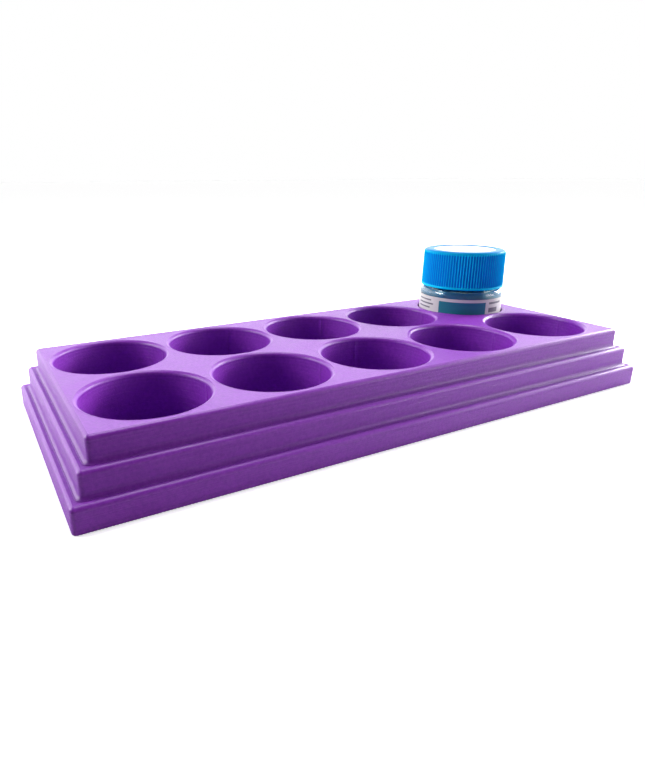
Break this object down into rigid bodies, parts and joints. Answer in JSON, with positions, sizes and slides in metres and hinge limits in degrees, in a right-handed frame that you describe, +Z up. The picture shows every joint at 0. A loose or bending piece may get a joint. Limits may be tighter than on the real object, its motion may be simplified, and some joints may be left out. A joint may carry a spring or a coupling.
{
  "type": "paint rack organizer",
  "caption": "Low stepped block with a grid of round blind sockets that hold small paint jars upright, shown with a screw-cap jar seated.",
  "frame": {"origin": "centre of the rack's underside", "axes": "+X along the long side towards the seated jar's end, +Y from the front row to the back row, +Z up"},
  "size_m": [0.193, 0.086, 0.0428],
  "materials": {
    "rack_plastic": "satin printed plastic",
    "clear_glass": "clear",
    "teal_paint": "liquid paint",
    "label_paper": "coated paper",
    "liner_foam": "foam sheet",
    "cap_plastic": "moulded, satin",
    "disc_card": "coated card"
  },
  "bodies": {
    "rack": {"rack_body": "rack_plastic"},
    "jar": {"jar_glass": "clear_glass", "paint_fill": "teal_paint", "jar_label": "label_paper"},
    "liner": {"cap_liner": "liner_foam"},
    "cap": {"cap_shell": "cap_plastic", "cap_disc": "disc_card"}
  },
  "joints": [
    {"name": "jar_lift", "type": "slide", "parent": "rack", "child": "jar", "axis": [0, 0, 1], "range_m": [0, 0.03]},
    {"name": "cap_rise", "type": "slide", "parent": "jar", "child": "liner", "axis": [0, 0, 1], "range_m": [0, 0.0064]},
    {"name": "cap_turn", "type": "hinge", "parent": "liner", "child": "cap", "pos_m": [0.072, 0.018, 0.02835], "axis": [0, 0, 1], "range_deg": [0, 720]}
  ],
  "couplings": [
    {"joint": "cap_rise", "follows": "cap_turn", "m_per_rad": 0.0005093}
  ]
}
